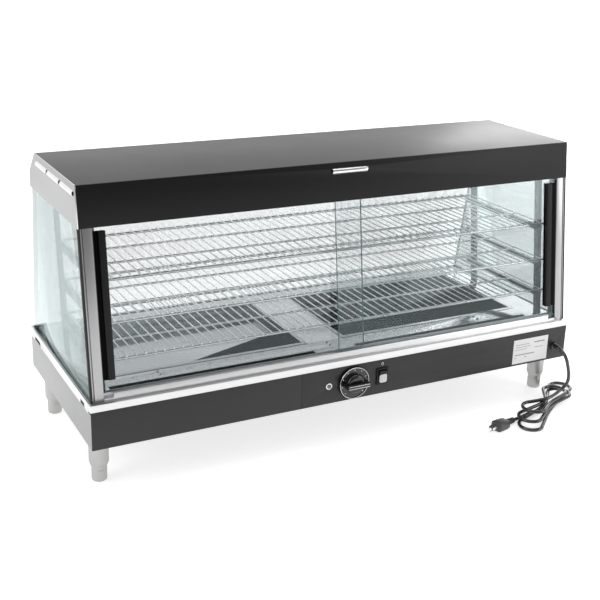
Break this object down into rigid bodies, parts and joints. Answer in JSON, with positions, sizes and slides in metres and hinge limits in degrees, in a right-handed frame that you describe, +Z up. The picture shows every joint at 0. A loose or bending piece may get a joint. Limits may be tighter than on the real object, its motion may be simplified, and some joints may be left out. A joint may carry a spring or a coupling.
{
  "type": "hot food display case",
  "caption": "Counter-top heated food display case with a leaning glass box, sliding rear doors, wire shelves, a hood, and a heated base on screw feet, with its mains lead.",
  "frame": {"origin": "middle of the footprint, on the surface that the feet stand on", "axes": "+X is the operator's right along the length, +Y points to the customers' side, +Z is up"},
  "size_m": [1.2744, 0.6342, 0.638],
  "materials": {
    "steel_black": "satin",
    "steel_brushed": "satin",
    "steel_bright": "gloss",
    "steel_grey": "satin",
    "leg_metal": "satin",
    "panel_glass": "gloss",
    "handle_plastic": "satin",
    "control_plastic": "satin",
    "element_sheath": "matte",
    "ceramic": "matte",
    "bulb_glass": "gloss",
    "seal_rubber": "matte",
    "plate_white": "satin",
    "cord_jacket": "satin",
    "prong_metal": "gloss"
  },
  "bodies": {
    "case": {"base_front_panel": "steel_black", "control_panel": "steel_black", "hood_top": "steel_black", "hood_front": "steel_black", "hood_rear": "steel_black", "base_rear_panel": "steel_brushed", "base_side_left": "steel_brushed", "base_side_right": "steel_brushed", "trim_front": "steel_brushed", "trim_rear": "steel_brushed", "trim_left": "steel_brushed", "trim_right": "steel_brushed", "deck": "steel_brushed", "humidity_pan_left": "steel_brushed", "humidity_pan_right": "steel_brushed", "post_left": "steel_brushed", "post_right": "steel_brushed", "hood_end_left": "steel_brushed", "hood_end_right": "steel_brushed", "hood_liner": "steel_brushed", "door_track_bottom": "steel_brushed", "door_track_top": "steel_brushed", "shelf_bottom": "steel_bright", "shelf_middle": "steel_bright", "shelf_top": "steel_bright", "case_screws": "steel_bright", "pilot_lamp": "steel_bright", "base_pan": "steel_grey", "control_shield": "steel_grey", "shelf_uprights": "steel_grey", "shelf_brackets": "steel_grey", "leg_barrels": "leg_metal", "side_glass_left": "panel_glass", "side_glass_right": "panel_glass", "customer_glass": "panel_glass", "thermostat_body": "control_plastic", "switch_housing": "control_plastic", "terminal_block": "control_plastic", "heating_elements": "element_sheath", "lamp_sockets": "ceramic", "lamp_bulbs": "bulb_glass", "post_seals": "seal_rubber", "rating_plate": "plate_white", "strain_relief": "cord_jacket", "power_cord": "cord_jacket", "cord_hank": "cord_jacket", "plug_lead": "cord_jacket", "plug_body": "cord_jacket", "plug_prongs": "prong_metal"},
    "left_door": {"door_glass_left": "panel_glass", "door_handle_left": "handle_plastic"},
    "right_door": {"door_glass_right": "panel_glass", "door_handle_right": "handle_plastic"},
    "dial": {"thermostat_knob": "control_plastic", "thermostat_shaft": "steel_grey"},
    "rocker": {"switch_rocker": "control_plastic"},
    "front_left_foot": {"foot_front_left": "leg_metal"},
    "front_right_foot": {"foot_front_right": "leg_metal"},
    "rear_left_foot": {"foot_rear_left": "leg_metal"},
    "rear_right_foot": {"foot_rear_right": "leg_metal"}
  },
  "joints": [
    {"name": "left_door_slide", "type": "slide", "parent": "case", "child": "left_door", "axis": [1, 0, 0], "range_m": [0, 0.536]},
    {"name": "right_door_slide", "type": "slide", "parent": "case", "child": "right_door", "axis": [-1, 0, 0], "range_m": [0, 0.54]},
    {"name": "thermostat_turn", "type": "hinge", "parent": "case", "child": "dial", "pos_m": [-0.004, -0.226, 0.144], "axis": [0, 1, 0], "range_deg": [0, 270]},
    {"name": "switch_rock", "type": "hinge", "parent": "case", "child": "rocker", "pos_m": [0.072, -0.226, 0.146], "axis": [-1, 0, 0], "range_deg": [0, 16]},
    {"name": "front_left_foot_screw", "type": "slide", "parent": "case", "child": "front_left_foot", "axis": [0, 0, -1], "range_m": [0, 0.02]},
    {"name": "front_right_foot_screw", "type": "slide", "parent": "case", "child": "front_right_foot", "axis": [0, 0, -1], "range_m": [0, 0.02]},
    {"name": "rear_left_foot_screw", "type": "slide", "parent": "case", "child": "rear_left_foot", "axis": [0, 0, -1], "range_m": [0, 0.02]},
    {"name": "rear_right_foot_screw", "type": "slide", "parent": "case", "child": "rear_right_foot", "axis": [0, 0, -1], "range_m": [0, 0.02]}
  ]
}
